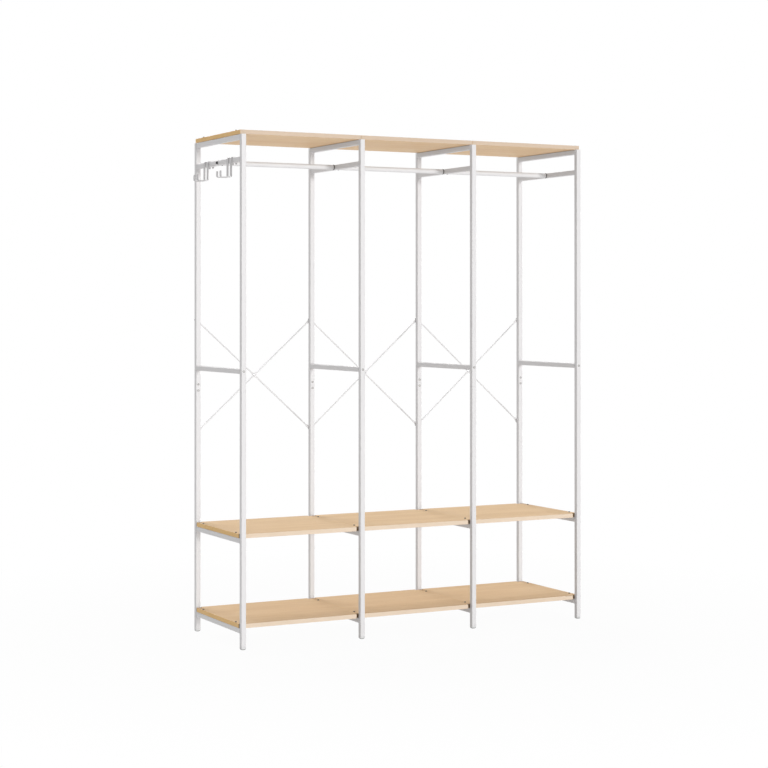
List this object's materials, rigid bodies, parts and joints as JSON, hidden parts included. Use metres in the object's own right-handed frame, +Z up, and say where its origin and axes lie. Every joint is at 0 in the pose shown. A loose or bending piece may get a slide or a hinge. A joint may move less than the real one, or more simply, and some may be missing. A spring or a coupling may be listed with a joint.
{
  "type": "portable wardrobe",
  "caption": "Open free-standing garment rack: white square-tube side frames, wood boards on several levels, hanging rods, crossed rear braces and sliding double hooks at one end.",
  "frame": {"origin": "on the floor, under the middle of the outline that the hooks and braces belong to", "axes": "+Z up, +Y to the back where the braces are, +X to the right seen from the front"},
  "size_m": [1.4436, 0.4414, 1.8],
  "materials": {
    "frame_coat": "satin powder coat",
    "board_wood": "matt wood-grain laminate",
    "foot_plastic": "matt",
    "plug_plastic": "matt",
    "sleeve_steel": "zinc plated"
  },
  "bodies": {
    "rack": {"left_end_lower_frame": "frame_coat", "left_end_upper_frame": "frame_coat", "left_end_middle_bar": "frame_coat", "left_end_front_joint_sleeve": "sleeve_steel", "left_end_front_foot_cap": "foot_plastic", "left_end_rear_joint_sleeve": "sleeve_steel", "left_end_rear_foot_cap": "foot_plastic", "left_inner_lower_frame": "frame_coat", "left_inner_upper_frame": "frame_coat", "left_inner_middle_bar": "frame_coat", "left_inner_front_joint_sleeve": "sleeve_steel", "left_inner_front_foot_cap": "foot_plastic", "left_inner_rear_joint_sleeve": "sleeve_steel", "left_inner_rear_foot_cap": "foot_plastic", "right_inner_lower_frame": "frame_coat", "right_inner_upper_frame": "frame_coat", "right_inner_middle_bar": "frame_coat", "right_inner_front_joint_sleeve": "sleeve_steel", "right_inner_front_foot_cap": "foot_plastic", "right_inner_rear_joint_sleeve": "sleeve_steel", "right_inner_rear_foot_cap": "foot_plastic", "right_end_lower_frame": "frame_coat", "right_end_upper_frame": "frame_coat", "right_end_middle_bar": "frame_coat", "right_end_front_joint_sleeve": "sleeve_steel", "right_end_front_foot_cap": "foot_plastic", "right_end_rear_joint_sleeve": "sleeve_steel", "right_end_rear_foot_cap": "foot_plastic", "left_bottom_shelf_board": "board_wood", "left_lower_shelf_board": "board_wood", "left_top_board": "board_wood", "left_hanging_rod": "frame_coat", "left_rod_left_end_plug": "plug_plastic", "left_rod_right_end_plug": "plug_plastic", "left_rising_brace_rod": "frame_coat", "left_falling_brace_rod": "frame_coat", "left_brace_rivet": "sleeve_steel", "centre_bottom_shelf_board": "board_wood", "centre_lower_shelf_board": "board_wood", "centre_top_board": "board_wood", "centre_hanging_rod": "frame_coat", "centre_rod_left_end_plug": "plug_plastic", "centre_rod_right_end_plug": "plug_plastic", "centre_rising_brace_rod": "frame_coat", "centre_falling_brace_rod": "frame_coat", "centre_brace_rivet": "sleeve_steel", "right_bottom_shelf_board": "board_wood", "right_lower_shelf_board": "board_wood", "right_top_board": "board_wood", "right_hanging_rod": "frame_coat", "right_rod_left_end_plug": "plug_plastic", "right_rod_right_end_plug": "plug_plastic", "right_rising_brace_rod": "frame_coat", "right_falling_brace_rod": "frame_coat", "right_brace_rivet": "sleeve_steel"},
    "front_hook": {"front_double_hook": "frame_coat"},
    "rear_hook": {"rear_double_hook": "frame_coat"}
  },
  "joints": [
    {"name": "front_hook_slide", "type": "slide", "parent": "rack", "child": "front_hook", "axis": [0, 1, 0], "range_m": [-0.0621, 0.0761]},
    {"name": "rear_hook_slide", "type": "slide", "parent": "rack", "child": "rear_hook", "axis": [0, 1, 0], "range_m": [-0.0661, 0.0721]}
  ]
}
